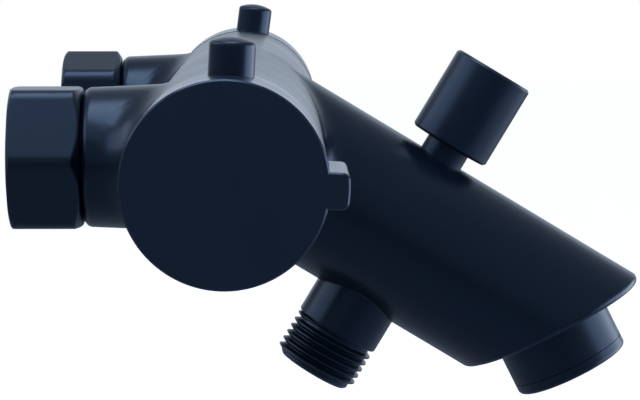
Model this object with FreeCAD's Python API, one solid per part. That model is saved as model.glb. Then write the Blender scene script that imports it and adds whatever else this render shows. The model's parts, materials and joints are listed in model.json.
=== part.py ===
import FreeCAD, Part
import math
import os

# Wall-mounted bath mixer with temperature control, in millimetres.
# The origin is midway between the two inlets, in the plane of the nuts' wall faces.
# X points away from the wall, Y along the bar to the right-hand handle, Z up.

V = FreeCAD.Vector

# Overall layout
TOTAL_LENGTH = 290.0
INLET_SPACING = 150.0
WALL_TO_AXIS = 47.8
TIGHT = 0.05
LOOSE = 0.3
PAST = 1.0
SAME = 0.001
NEARLY = 0.01
FULL_TURN = 360.0

# Bar and handles
BAR_DIA = 41.2
HANDLE_DIA = 41.4
HANDLE_LENGTH = 28.5
HANDLE_GAP = 0.5
HANDLE_WALL = 2.6
CAP_DEPTH = 14.0
CAP_SEAM = 0.4
CAP_THICKNESS = 2.5
RIM_CHAMFER = 0.35
SPIGOT_LENGTH = 6.5
WEB_HEIGHT = 13.5
WEB_THICKNESS = 4.0
HUB_DIA = 17.2
HUB_DROP = 6.0
SLEEVE_WALL = 5.0
TAB_REACH = 24.6
TAB_HEIGHT = 7.4
TAB_LENGTH = 27.0
TAB_CORNER = 1.5
TAB_CLEARANCE = 0.15
FLOW_LEAN = 3.0
TEMPERATURE_LEAN = 7.5

# Stop buttons on the handles
BUTTON_DIA = 9.4
BUTTON_SETBACK = 19.8
BUTTON_STAND = 7.5
BUTTON_DOME = 1.1
BUTTON_EDGE = 0.9
BUTTON_TRAVEL = 1.8
BUTTON_BORE_DEPTH = 5.5
BUTTON_SKIRT_WALL = 0.95
BUTTON_STEM_DIA = 3.6
BUTTON_BARB = 0.8
BUTTON_FLOOR = 1.5
BUTTON_BOSS_DIA = 13.0
SPRING_WIRE = 0.6
BUTTON_COILS = 3.25
BUTTON_SPRING_ROOM = 4.5
BUTTON_PLAY = 0.1
BARB_CLEARANCE = 0.2
BARB_LENGTH = 1.0

# Inlet arms, tails and nuts
ARM_DIA = 30.4
ARM_ROOT_DIA = 33.2
ARM_GAP = 0.2
ARM_ROUNDING = 2.0
ARM_BORE_DIA = 18.0
ARM_BORE_PAST_AXIS = 9.0
ARM_BLEND = 10.0
NUT_LENGTH = 15.7
NUT_FLATS = 30.2
NUT_CHAMFER = 1.6
NUT_WALL_CHAMFER = 0.6
NUT_FACE_INSET = 0.3
NUT_CORNER = 2.0
NUT_BACK_WALL = 2.3
NUT_FLOAT = 1.6
NUT_MOUTH = 0.8
NUT_THREAD_LENGTH = 6.5
NUT_THREAD_MINOR = 24.12
NUT_RELIEF_DIA = 25.0
HOT_NUT_TURN = 0.0
COLD_NUT_TURN = 18.4
TAIL_DIA = 19.6
TAIL_DEPTH = 12.0
TAIL_BORE_DIA = 14.4
COLLAR_DIA = 23.4
COLLAR_THICKNESS = 2.0
WASHER_THICKNESS = 2.0
STRAINER_THICKNESS = 0.5
CHECK_VALVE_LENGTH = 14.0
CHECK_VALVE_WALL = 1.5
CHECK_VALVE_SETBACK = 1.0
POPPET_LIP = 2.0
POPPET_RIM = 1.5
POPPET_STEM_DIA = 3.0

# Spout, mouth and aerator
SPOUT_DIA = 41.0
SPOUT_DROP = 31.0
SPOUT_BLEND = 9.0
MOUTH_ALONG = 89.4
MOUTH_TILT = 26.6
MOUTH_CUT = 1.6
MOUTH_EDGE = 1.4
AERATOR_DIA = 28.8
AERATOR_END = 14.1
AERATOR_CAP_HEIGHT = 2.8
AERATOR_SEAM = 0.15
AERATOR_EDGE = 1.1
AERATOR_BORE_DIA = 23.0
AERATOR_ROOT = 7.0
AERATOR_SLEEVE = 7.0
AERATOR_SEAL = 1.5
AERATOR_WAY_DIA = 18.0
INSERT_DIA = 20.4
INSERT_RECESS = 1.2
INSERT_HOLE_DIA = 2.2
INSERT_LIP = 1.0
RING_RADII = (4.0, 7.8)
RING_HOLES = (6, 12)

# Diverter
DIVERTER_ALONG = 46.3
KNOB_DIA = 20.4
KNOB_HEIGHT = 21.5
KNOB_LIFT_OFF = 3.6
KNOB_EDGE = 0.6
KNOB_TRAVEL = 8.0
GLAND_DIA = 11.2
GLAND_TOP = 33.0
GLAND_ROOT = 13.0
GLAND_SEAL_DEPTH = 6.0
GLAND_SEAL_SECTION = 1.2
KNOB_RECESS_DEPTH = 12.0
SPINDLE_DIA = 6.0
SPINDLE_END_DIA = 5.0
SPINDLE_END_LENGTH = 6.0
CHAMBER_DIA = 18.0
CHAMBER_TOP = 3.0
SEAT_DIA = 11.0
SEAT_THICKNESS = 2.0
UPPER_CHAMBER_TOP = 15.0
VALVE_DIA = 16.0
VALVE_THICKNESS = 3.8
VALVE_COLLAR_DIA = 10.0
VALVE_COLLAR = 1.2
VALVE_CLEARANCE = 0.1
NUT_INSET = 0.5
KNOB_PLAY = 0.5

# Shower outlet under the spout
OUTLET_THREAD_DIA = 20.955
OUTLET_THREAD_LENGTH = 11.0
OUTLET_NECK_DIA = 21.2
OUTLET_END = 40.8
OUTLET_UNDERCUT = 0.6
OUTLET_UNDERCUT_DIA = 18.4
OUTLET_BORE_DIA = 13.0
OUTLET_STEM_DIA = 19.0
OUTLET_SEAT = 16.8
OUTLET_SEAL = 1.0
PORT_TOP = 12.0
OUTLET_CHAMFER = 0.9

# Waterways in the casting
SPOUT_WAY_DIA = 10.0
SPOUT_WAY_OFFSET = -3.0
SPOUT_WAY_START = 6.0
MOUTH_WAY_DIA = 9.0
MOUTH_WAY_OFFSET = 9.0
HOT_WAY_PITCH = 10.5
HOT_WAY_DIA = 7.0
HOT_WAY_TURN = 180.0
SUPPLY_WAY_PITCH = 7.5
SUPPLY_WAY_DIA = 8.0
SUPPLY_WAY_TURN = 120.0
RETURN_WAY_PITCH = 13.0
RETURN_WAY_DIA = 6.0
NOSE_BORE_DIA = 11.0
NOSE_BORE_DEPTH = 18.0
WAY_WALL = 4.0
MOUTH_HEAD = 2.0

# Valve pockets at both ends of the bar
POCKET_DIA = 30.0
FLOW_POCKET_DEPTH = 21.0
TEMPERATURE_POCKET_FLOOR = 48.0
NUT_SEAT_DIA = 33.0
NUT_SEAT_DEPTH = 8.0
LOCK_NUT_TOP = -1.0
LOCK_NUT_SLOT = 4.0
LOCK_NUT_SLOTS = 4
LOCK_NUT_SLOT_INSIDE = 12.0
FLANGE_THICKNESS = 4.0
NECK_DIA = 16.0
NECK_TOP = 5.5
STEM_DIA = 8.0
STEM_TOP = 16.0
RUNNING = 0.05
SEAT_SEAL_DIA = 17.0
SEAT_SEAL_THICKNESS = 2.0

# Limit rings and the rib in each handle
RING_DIA = 26.0
RING_BASE = 3.0
LUG_HEIGHT = 3.6
LUG_INNER_DIA = 21.0
RIB_PLAY = 0.5
RIB_ANGLE = 24.0
RIB_PLACE = 180.0
STOP_PLAY = 1.0
FLOW_TRAVEL = (0.0, 90.0)
TEMPERATURE_TRAVEL = (-100.0, 150.0)

# Drive inserts and handle screws
INSERT_BODY_DIA = 12.4
INSERT_FLANGE_DIA = 15.0
INSERT_FLANGE = 1.2
INSERT_INSET = 1.0
SCREW_DIA = 4.0
SCREW_HEAD_DIA = 7.6
SCREW_HEAD = 2.5
SCREW_LENGTH = 11.0
HEX_SOCKET = 3.0

# Flow valve
FLOW_SHELL_DIA = 22.4
DISC_DIA = 19.8
DISC_THICKNESS = 3.5
DRIVER_PLAY = 0.1
DRIVER_INSET = 1.0
WINDOW_HEIGHT = 3.0
WINDOW_WIDTH = 6.0
WINDOW_TURN = 45.0
WINDOWS = 4
DISC_OPENING = 80.0
DISC_OPENING_INNER = 7.0
DISC_OPENING_OUTER = 16.0
TONGUE_WIDTH = 3.0
TONGUE_DEPTH = 1.0
TONGUE_LENGTH = 12.0
TONGUE_PLAY = 0.1

# Temperature valve, with heights above the floor of its pocket
VALVE_BODY_DIA = 24.4
VALVE_BORE_DIA = 18.0
VALVE_FOOT_DIA = 13.6
VALVE_FOOT = 2.0
VALVE_FLOOR = 2.0
NOSE_DIA = 10.8
NOSE_LENGTH = 6.0
NOSE_WAY_DIA = 8.4
LAND_DIA = 29.6
SEAL_LAND = (12.0, 17.0)
BONNET_LOW = 38.0
PORT_WIDTH = 4.0
PORTS = 6
HOT_PORT = (5.5, 9.7)
COLD_PORT = (24.3, 27.4)
SLIDE_SPAN = (10.0, 24.0)
SLIDE_WALL = 1.3
SLIDE_WEB = (20.0, 22.0)
SLIDE_HOLE_DIA = 1.2
SLEEVE_SPAN = (28.0, 42.0)
SLEEVE_SCREW_DIA = 10.0
SCREW_STAGE = (34.0, 46.0)
STEM_COLLAR_DIA = 14.0
ELEMENT_BULB_DIA = 9.0
ELEMENT_GUIDE_DIA = 5.0
ELEMENT_SHOULDER_DIA = 12.0
ELEMENT_SHOULDER = 1.5
BONNET_SKIRT = 1.0
ADJUSTER_ROOM = 2.0
SEAL_SECTION = 1.9
REGULATOR_SPRING_DIA = 14.0
REGULATOR_WIRE = 1.2
REGULATOR_COILS = 2.75

# Sizes that follow from the ones above
BAR_HALF = TOTAL_LENGTH / 2 - HANDLE_LENGTH - HANDLE_GAP
HANDLE_END = HANDLE_LENGTH + HANDLE_GAP
HANDLE_R = HANDLE_DIA / 2
TEMPERATURE_POCKET_DEPTH = BAR_HALF - TEMPERATURE_POCKET_FLOOR
AXIS = V(WALL_TO_AXIS, 0, 0)
DROP = math.radians(SPOUT_DROP)
TILT = math.radians(MOUTH_TILT)
ALONG = V(math.cos(DROP), 0, -math.sin(DROP))
LIFT = V(math.sin(DROP), 0, math.cos(DROP))
POUR = V(math.sin(TILT), 0, -math.cos(TILT))
DIVERTER = AXIS + ALONG * DIVERTER_ALONG
MOUTH = AXIS + ALONG * MOUTH_ALONG
ARM_END = NUT_LENGTH + ARM_GAP
FLOW = -1
TEMPERATURE = 1


def turned(outline):
    """Solid turned about +Z from a closed outline of (radius, height) points."""
    corners = [V(r, 0, h) for r, h in outline]
    wire = Part.makePolygon(corners + corners[:1])
    return Part.Face(wire).revolve(V(0, 0, 0), V(0, 0, 1), FULL_TURN)


def rod(radius, low, high):
    """Cylinder about +Z between two heights."""
    return Part.makeCylinder(radius, high - low, V(0, 0, low))


def pipe(outer, inner, low, high):
    """Tube about +Z between two heights."""
    return rod(outer, low, high).cut(rod(inner, low, high))


def sector(outer, inner, low, high, start, end):
    """Part of a tube about +Z between two angles in degrees."""
    height = high - low
    turn = end - start
    outside = Part.makeCylinder(outer, height, V(0, 0, low), V(0, 0, 1), turn)
    inside = Part.makeCylinder(inner, height, V(0, 0, low), V(0, 0, 1), turn)
    piece = outside.cut(inside)
    piece.rotate(V(0, 0, 0), V(0, 0, 1), start)
    return piece


def placed(shape, origin, direction):
    """The shape with its own +Z laid along a direction and its zero on the origin."""
    copy = shape.copy()
    turn = FreeCAD.Rotation(V(0, 0, 1), direction)
    copy.Placement = FreeCAD.Placement(origin, turn).multiply(copy.Placement)
    return copy


def edges_at(shape, test):
    """Edges whose sample points all pass the test."""
    found = []
    for edge in shape.Edges:
        if not edge.Degenerated and all(test(point) for point in edge.discretize(5)):
            found.append(edge)
    return found


def from_axis(point):
    """Distance of a point from the Z axis."""
    return math.hypot(point.x, point.y)


def coil(mean_radius, wire_radius, low, high, turns):
    """Helical spring about +Z between two heights, its round wire drawn as four quarter arcs."""
    rise = high - low - 2 * wire_radius
    path = Part.Wire(Part.makeHelix(rise / turns, rise, mean_radius).Edges)
    circle = Part.Circle(V(mean_radius, 0, 0), V(0, 1, 0), wire_radius)
    quarter = math.pi / 2
    arcs = [Part.ArcOfCircle(circle, quarter * i, quarter * (i + 1)).toShape() for i in range(4)]
    spring = path.makePipeShell([Part.Wire(arcs)], True, True)
    spring.translate(V(0, 0, low + wire_radius))
    return spring


def hexagon(flats, low, high, first_flat=0.0):
    """Hexagonal prism about +Z with a flat facing the given angle."""
    corner = flats / 2 / math.cos(math.pi / 6)
    points = []
    for i in range(7):
        a = math.radians(first_flat + 30 + 60 * i)
        points.append(V(corner * math.cos(a), corner * math.sin(a), low))
    return Part.Face(Part.makePolygon(points)).extrude(V(0, 0, high - low))


def seal_ring(height):
    """Round sealing ring that fills its groove at a height in a valve pocket."""
    section = SEAL_SECTION / 2
    return Part.makeTorus(POCKET_DIA / 2 - section - TIGHT, section, V(0, 0, height))


def bar_way(pitch, angle, diameter, low, high):
    """Waterway along the bar, at a distance and an angle from its axis."""
    a = math.radians(angle)
    start = AXIS + V(pitch * math.cos(a), low, pitch * math.sin(a))
    return Part.makeCylinder(diameter / 2, high - low, start, V(0, 1, 0))


def spout_way(diameter, offset, start, end):
    """Waterway along the spout, offset from its axis."""
    way = rod(diameter / 2, start, end)
    return placed(way, AXIS + LIFT * offset, ALONG)


# Heights along the diverter's axis, from the spout's axis
CHAMBER_FLOOR = CHAMBER_TOP - VALVE_THICKNESS - KNOB_TRAVEL - 2 * VALVE_CLEARANCE
VALVE_LOW = CHAMBER_FLOOR + VALVE_CLEARANCE
VALVE_TOP = VALVE_LOW + VALVE_THICKNESS
KNOB_LOW = SPOUT_DIA / 2 + KNOB_LIFT_OFF
KNOB_SHOULDER = KNOB_LOW + KNOB_RECESS_DEPTH


def blended_casting():
    """The casting's outside: bar, arms and spout run into each other."""
    cast = placed(rod(BAR_DIA / 2, -BAR_HALF, BAR_HALF), AXIS, V(0, 1, 0))
    for side in (FLOW, TEMPERATURE):
        start = V(0, 0, ARM_END)
        arm = Part.makeCone(ARM_DIA / 2, ARM_ROOT_DIA / 2, WALL_TO_AXIS - ARM_END, start)
        cast = cast.fuse(placed(arm, inlet(side), V(1, 0, 0)))
    seams = [edge for edge in cast.Edges if edge.Curve.TypeId == "Part::GeomBSplineCurve"]
    cast = cast.makeFillet(ARM_BLEND, seams)
    ends = edges_at(cast, lambda p: abs(p.x - ARM_END) < SAME)
    cast = cast.makeFillet(ARM_ROUNDING, ends)
    cast = cast.fuse(placed(rod(SPOUT_DIA / 2, 0, MOUTH_ALONG + SPOUT_DIA), AXIS, ALONG))
    seams = []
    for edge in cast.Edges:
        middle = abs(edge.BoundBox.Center.y) < 1 and edge.BoundBox.YLength > BAR_DIA / 2
        if middle and edge.Curve.TypeId == "Part::GeomBSplineCurve":
            seams.append(edge)
    cast = cast.makeFillet(SPOUT_BLEND, seams)
    cast = cast.cut(placed(rod(MOUTH_ALONG, MOUTH_CUT, MOUTH_ALONG), MOUTH, POUR))
    lip = edges_at(cast, lambda p: abs((p - MOUTH).dot(POUR) - MOUTH_CUT) < SAME)
    return cast.makeFillet(MOUTH_EDGE, lip)


def inlet(side):
    """Centre of an inlet in the plane of the nuts' wall faces."""
    return V(0, side * INLET_SPACING / 2, 0)


def mixer_body():
    """The casting with its pockets, ports and waterways."""
    cast = blended_casting()
    tools = []
    flow_floor = FLOW_POCKET_DEPTH - BAR_HALF
    temperature_floor = BAR_HALF - TEMPERATURE_POCKET_DEPTH
    for side, depth in ((FLOW, FLOW_POCKET_DEPTH), (TEMPERATURE, TEMPERATURE_POCKET_DEPTH)):
        pocket = rod(POCKET_DIA / 2, -depth, PAST)
        pocket = pocket.fuse(rod(NUT_SEAT_DIA / 2, -NUT_SEAT_DEPTH, PAST))
        pocket = pocket.fuse(rod(NOSE_BORE_DIA / 2, -depth - NOSE_BORE_DEPTH, 0))
        if side == FLOW:
            recess = rod(SEAT_SEAL_DIA / 2 + TIGHT, -depth - SEAT_SEAL_THICKNESS, 0)
            pocket = pocket.fuse(recess)
        tools.append(at_bar_end(pocket, side, 0))
        way = rod(ARM_BORE_DIA / 2, 0, WALL_TO_AXIS - ARM_BORE_PAST_AXIS)
        way = way.fuse(rod(TAIL_DIA / 2, 0, ARM_END + TAIL_DEPTH))
        tools.append(placed(way, inlet(side), V(1, 0, 0)))
    tools.append(bar_way(HOT_WAY_PITCH, HOT_WAY_TURN, HOT_WAY_DIA, -INLET_SPACING / 2, temperature_floor))
    supply_angle = SUPPLY_WAY_TURN - SPOUT_DROP
    supply_low = flow_floor + WAY_WALL
    supply_high = temperature_floor - WAY_WALL
    tools.append(bar_way(SUPPLY_WAY_PITCH, supply_angle, SUPPLY_WAY_DIA, supply_low, supply_high))
    tools.append(bar_way(RETURN_WAY_PITCH, -SPOUT_DROP, RETURN_WAY_DIA, flow_floor, SPOUT_WAY_DIA / 2))
    tools.append(spout_way(SPOUT_WAY_DIA, SPOUT_WAY_OFFSET, SPOUT_WAY_START, DIVERTER_ALONG))
    tools.append(spout_way(MOUTH_WAY_DIA, MOUTH_WAY_OFFSET, DIVERTER_ALONG, MOUTH_ALONG))
    shaft = rod(CHAMBER_DIA / 2, CHAMBER_FLOOR, CHAMBER_TOP)
    upper_floor = CHAMBER_TOP + SEAT_THICKNESS
    shaft = shaft.fuse(rod(CHAMBER_DIA / 2, upper_floor, UPPER_CHAMBER_TOP))
    shaft = shaft.fuse(rod(SEAT_DIA / 2, -PORT_TOP, UPPER_CHAMBER_TOP))
    shaft = shaft.fuse(rod(GLAND_DIA / 2 + TIGHT, UPPER_CHAMBER_TOP, KNOB_LOW))
    shaft = shaft.fuse(rod(OUTLET_STEM_DIA / 2, -OUTLET_SEAT, -PORT_TOP))
    shaft = shaft.fuse(rod(OUTLET_NECK_DIA / 2 + TIGHT, -OUTLET_END, -OUTLET_SEAT))
    tools.append(placed(shaft, DIVERTER, LIFT))
    mouth = rod(AERATOR_DIA / 2 + TIGHT, -AERATOR_ROOT, MOUTH_CUT + PAST)
    mouth = mouth.fuse(rod(AERATOR_WAY_DIA / 2, -AERATOR_ROOT - MOUTH_HEAD, 0))
    tools.append(placed(mouth, MOUTH, POUR))
    for tool in tools:
        cast = cast.cut(tool)
    return cast


def at_bar_end(shape, side, lean):
    """A piece of one handle or valve, with its own +Z out of that end of the bar."""
    turned_piece = shape.copy()
    turned_piece.rotate(V(0, 0, 0), V(0, 0, 1), side * lean)
    return placed(turned_piece, AXIS + V(0, side * BAR_HALF, 0), V(0, side, 0))


# Inlet side: tail, nut, washer and check valve
COLLAR_BACK = NUT_LENGTH - NUT_BACK_WALL - NUT_FLOAT
COLLAR_FRONT = COLLAR_BACK - COLLAR_THICKNESS
WASHER_FRONT = COLLAR_FRONT - WASHER_THICKNESS


def swivel_nut():
    """Hexagon nut with chamfered ends, thread bore, relief and back wall."""
    thread = NUT_THREAD_MINOR / 2
    corner = NUT_FLATS / 2 / math.cos(math.pi / 6)
    face = NUT_FLATS / 2 - NUT_FACE_INSET
    nut = hexagon(NUT_FLATS, 0, NUT_LENGTH)
    upright = [edge for edge in nut.Edges if edge.BoundBox.ZLength > NUT_LENGTH / 2]
    nut = nut.makeFillet(NUT_CORNER, upright)
    turned_ends = turned([
        (0, 0), (corner - NUT_WALL_CHAMFER, 0), (corner, NUT_WALL_CHAMFER),
        (corner, NUT_LENGTH - NUT_CHAMFER), (face, NUT_LENGTH), (0, NUT_LENGTH)])
    nut = nut.common(turned_ends)
    thread_end = NUT_MOUTH + NUT_THREAD_LENGTH
    back_wall = NUT_LENGTH - NUT_BACK_WALL
    hole = TAIL_DIA / 2 + LOOSE
    bore = turned([
        (0, 0), (thread + NUT_MOUTH, 0), (thread, NUT_MOUTH), (thread, thread_end),
        (NUT_RELIEF_DIA / 2, thread_end), (NUT_RELIEF_DIA / 2, back_wall),
        (hole, back_wall), (hole, NUT_LENGTH), (0, NUT_LENGTH)])
    return nut.cut(bore)


def inlet_tail():
    """Collared tail, pressed into the arm."""
    tail = pipe(TAIL_DIA / 2, TAIL_BORE_DIA / 2, COLLAR_FRONT, ARM_END + TAIL_DEPTH)
    return tail.fuse(pipe(COLLAR_DIA / 2, TAIL_BORE_DIA / 2, COLLAR_FRONT, COLLAR_BACK))


def filter_washer():
    """Sealing washer with its strainer disc."""
    ring = pipe(COLLAR_DIA / 2, TAIL_BORE_DIA / 2, WASHER_FRONT, COLLAR_FRONT)
    middle = (WASHER_FRONT + COLLAR_FRONT - STRAINER_THICKNESS) / 2
    return ring.fuse(rod(TAIL_BORE_DIA / 2, middle, middle + STRAINER_THICKNESS))


def check_valve():
    """Non-return valve: sleeve with guide and closed poppet, as one sealed unit."""
    outer = TAIL_BORE_DIA / 2 - TIGHT
    inner = outer - CHECK_VALVE_WALL
    low = COLLAR_FRONT + CHECK_VALVE_SETBACK
    seat = low + CHECK_VALVE_LENGTH / 3
    sleeve = pipe(outer, inner, low, low + CHECK_VALVE_LENGTH)
    stem = POPPET_STEM_DIA / 2
    rim = seat + POPPET_RIM
    stem_end = low + CHECK_VALVE_LENGTH - POPPET_LIP
    poppet = turned([
        (0, seat - POPPET_LIP), (inner, seat), (inner, rim), (stem, rim), (stem, stem_end), (0, stem_end)])
    return sleeve.fuse(poppet)


def inlet_pieces():
    """Both inlets, as node names and shapes."""
    pieces = {}
    for name, side, turn in (("hot", FLOW, HOT_NUT_TURN), ("cold", TEMPERATURE, COLD_NUT_TURN)):
        nut = swivel_nut()
        nut.rotate(V(0, 0, 0), V(0, 0, 1), turn)
        local = {
            "swivel_nut": nut,
            "inlet_tail": inlet_tail(),
            "filter_washer": filter_washer(),
            "check_valve": check_valve(),
        }
        for part_name, shape in local.items():
            pieces[name + "_" + part_name] = placed(shape, inlet(side), V(1, 0, 0))
    return pieces


# Heights along a handle's axis, from the end of the bar
BARREL_END = HANDLE_END - CAP_DEPTH - CAP_SEAM
CAP_START = HANDLE_END - CAP_DEPTH
WEB_LOW = WEB_HEIGHT + HANDLE_GAP
WEB_HIGH = WEB_LOW + WEB_THICKNESS
HUB_LOW = WEB_LOW - HUB_DROP
BUTTON_PLACE = HANDLE_END - BUTTON_SETBACK
RING_LOW = LOCK_NUT_TOP
LUG_LOW = RING_LOW + RING_BASE
LUG_TOP = LUG_LOW + LUG_HEIGHT

# Distances of the button's parts from the handle's axis
BUTTON_FLOOR_TOP = HANDLE_R - BUTTON_BORE_DEPTH
BUTTON_FLOOR_LOW = BUTTON_FLOOR_TOP - BUTTON_FLOOR
BUTTON_TOP = HANDLE_R + BUTTON_STAND
BUTTON_SKIRT_LOW = BUTTON_FLOOR_TOP + BUTTON_TRAVEL + BUTTON_PLAY
BUTTON_ROOF = BUTTON_FLOOR_TOP + BUTTON_SPRING_ROOM


def on_button_axis(shape, side):
    """A piece with its own +Z laid out through the button's bore."""
    return placed(shape, V(0, 0, BUTTON_PLACE), V(0, -side, 0))


def handle_barrel(side):
    """Handle barrel with web, hub, limit rib and button bore."""
    hub_bore = INSERT_BODY_DIA / 2
    inner = HANDLE_R - HANDLE_WALL
    sleeve = HANDLE_R - SLEEVE_WALL
    barrel = turned([
        (hub_bore, HUB_LOW), (HUB_DIA / 2, HUB_LOW), (HUB_DIA / 2, WEB_LOW),
        (sleeve, WEB_LOW), (sleeve, HANDLE_GAP), (HANDLE_R, HANDLE_GAP),
        (HANDLE_R, BARREL_END), (inner, BARREL_END), (inner, BARREL_END + SPIGOT_LENGTH),
        (sleeve, BARREL_END + SPIGOT_LENGTH), (sleeve, WEB_HIGH), (hub_bore, WEB_HIGH)])
    half = RIB_ANGLE / 2
    rib_low = LUG_LOW + RIB_PLAY
    rib = sector(RING_DIA / 2, LUG_INNER_DIA / 2, rib_low, WEB_LOW, RIB_PLACE - half, RIB_PLACE + half)
    boss = rod(BUTTON_BOSS_DIA / 2, BUTTON_FLOOR_LOW, sleeve + PAST)
    barrel = barrel.fuse(rib).fuse(on_button_axis(boss, side))
    bore = rod(BUTTON_DIA / 2 + RUNNING, BUTTON_FLOOR_TOP, BUTTON_TOP)
    bore = bore.fuse(rod(BUTTON_STEM_DIA / 2 + RUNNING, BUTTON_FLOOR_LOW - PAST, BUTTON_TOP))
    return barrel.cut(on_button_axis(bore, side))


def end_cap():
    """Cup-shaped end cap with the finger tab in one piece."""
    inner = HANDLE_R - HANDLE_WALL
    cap = turned([
        (inner, CAP_START), (HANDLE_R, CAP_START), (HANDLE_R, HANDLE_END), (0, HANDLE_END),
        (0, HANDLE_END - CAP_THICKNESS), (inner, HANDLE_END - CAP_THICKNESS)])
    root = inner + HANDLE_WALL / 4
    tab_low = HANDLE_END - TAB_LENGTH
    tab = Part.makeBox(TAB_REACH - root + PAST, TAB_HEIGHT, TAB_LENGTH, V(root, -TAB_HEIGHT / 2, tab_low))
    tab = tab.common(rod(TAB_REACH, tab_low, HANDLE_END))
    outer = edges_at(tab, lambda p: from_axis(p) > TAB_REACH - NEARLY)
    outer = [edge for edge in outer if edge.BoundBox.ZLength > TAB_LENGTH / 2]
    tab = tab.makeFillet(TAB_CORNER, outer)
    tab = tab.cut(rod(HANDLE_R + TAB_CLEARANCE, tab_low - PAST, CAP_START))
    cap = cap.fuse(tab).removeSplitter()
    front = edges_at(cap, lambda p: abs(p.z - HANDLE_END) < SAME)
    return cap.makeChamfer(RIM_CHAMFER, front)


def stop_button(side):
    """Domed button with a skirt round its spring and a barbed stem."""
    r = BUTTON_DIA / 2
    stem = BUTTON_STEM_DIA / 2
    skirt = r - BUTTON_SKIRT_WALL
    barb = stem + BUTTON_BARB
    barb_top = BUTTON_FLOOR_LOW - BARB_CLEARANCE
    barb_low = barb_top - BARB_LENGTH
    dome_low = BUTTON_TOP - BUTTON_DOME
    corners = [V(x, 0, h) for x, h in (
        (0, BUTTON_TOP), (0, barb_low), (stem, barb_low), (barb, barb_top - BARB_CLEARANCE),
        (barb, barb_top), (stem, barb_top), (stem, BUTTON_ROOF), (skirt, BUTTON_ROOF),
        (skirt, BUTTON_SKIRT_LOW), (r, BUTTON_SKIRT_LOW), (r, dome_low))]
    ball = (r * r + BUTTON_DOME * BUTTON_DOME) / (2 * BUTTON_DOME)
    rise = math.sqrt(ball * ball - r * r / 4)
    half_way = V(r / 2, 0, BUTTON_TOP - ball + rise)
    sides = Part.makePolygon(corners).Edges
    dome = Part.Arc(corners[-1], half_way, corners[0]).toShape()
    button = Part.Face(Part.Wire(sides + [dome])).revolve(V(0, 0, 0), V(0, 0, 1), FULL_TURN)
    rim = edges_at(button, lambda p: abs(p.z - dome_low) < SAME and from_axis(p) > r - NEARLY)
    button = button.makeFillet(BUTTON_EDGE, rim)
    return on_button_axis(button, side)


def button_spring(side):
    """Return spring between the bore's floor and the button's roof."""
    mean = (BUTTON_DIA / 2 - BUTTON_SKIRT_WALL + BUTTON_STEM_DIA / 2) / 2
    spring = coil(mean, SPRING_WIRE / 2, BUTTON_FLOOR_TOP, BUTTON_ROOF, BUTTON_COILS)
    return on_button_axis(spring, side)


def drive_insert():
    """Flanged sleeve between the handle's hub and the spindle."""
    flange = WEB_HIGH + INSERT_FLANGE
    body = INSERT_BODY_DIA / 2
    stem = STEM_DIA / 2
    hole = SCREW_DIA / 2 + TIGHT
    roof = STEM_TOP + HANDLE_GAP
    return turned([
        (stem, HUB_LOW + INSERT_INSET), (body, HUB_LOW + INSERT_INSET), (body, WEB_HIGH),
        (INSERT_FLANGE_DIA / 2, WEB_HIGH),
        (INSERT_FLANGE_DIA / 2, flange), (hole, flange), (hole, roof), (stem, roof)])


def handle_screw():
    """Socket screw that holds the handle on the spindle."""
    seat = WEB_HIGH + INSERT_FLANGE
    screw = rod(SCREW_DIA / 2, seat - SCREW_LENGTH, seat)
    screw = screw.fuse(rod(SCREW_HEAD_DIA / 2, seat, seat + SCREW_HEAD))
    return screw.cut(hexagon(HEX_SOCKET, seat + SCREW_HEAD / 3, seat + SCREW_HEAD + PAST))


def lock_nut():
    """Threaded ring with spanner slots that holds a valve in its pocket."""
    nut = pipe(NUT_SEAT_DIA / 2 - TIGHT, NECK_DIA / 2 + TIGHT, -NUT_SEAT_DEPTH, LOCK_NUT_TOP)
    for i in range(LOCK_NUT_SLOTS):
        depth = LOCK_NUT_SLOT / 2
        slot = Part.makeBox(NUT_SEAT_DIA, LOCK_NUT_SLOT, NUT_SEAT_DEPTH,
                            V(LOCK_NUT_SLOT_INSIDE, -depth, LOCK_NUT_TOP - depth))
        slot.rotate(V(0, 0, 0), V(0, 0, 1), FULL_TURN / LOCK_NUT_SLOTS * i)
        nut = nut.cut(slot)
    return nut


def stop_ring(side, lean, travel):
    """Ring with a lug that fills every angle the handle's rib must not reach."""
    ring = pipe(RING_DIA / 2, NECK_DIA / 2 + TIGHT, RING_LOW, LUG_LOW)
    turns = [side * angle for angle in travel]
    rest = RIB_PLACE + side * lean
    reach = RIB_ANGLE / 2 + STOP_PLAY
    start = rest + max(turns) + reach
    end = rest + min(turns) - reach + FULL_TURN
    return ring.fuse(sector(RING_DIA / 2, LUG_INNER_DIA / 2, LUG_LOW, LUG_TOP, start, end))


def tapped(spindle):
    """The spindle with the hole for the handle's screw."""
    return spindle.cut(rod(SCREW_DIA / 2, WEB_HIGH - SCREW_LENGTH, STEM_TOP))


def flow_shell():
    """Shell of the flow valve: skirt with windows, flange, groove and neck."""
    skirt = FLOW_SHELL_DIA / 2
    chamber = DISC_DIA / 2 + TIGHT
    floor = -FLOW_POCKET_DEPTH
    flange_low = -NUT_SEAT_DEPTH - FLANGE_THICKNESS
    shell = valve_head(chamber, skirt, floor, flange_low)
    window_low = floor + DISC_THICKNESS
    for i in range(WINDOWS):
        window = Part.makeBox(skirt, WINDOW_WIDTH, WINDOW_HEIGHT,
                              V(DISC_DIA / 4, -WINDOW_WIDTH / 2, window_low))
        window.rotate(V(0, 0, 0), V(0, 0, 1), WINDOW_TURN + FULL_TURN / WINDOWS * i)
        shell = shell.cut(window)
    return shell


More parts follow.
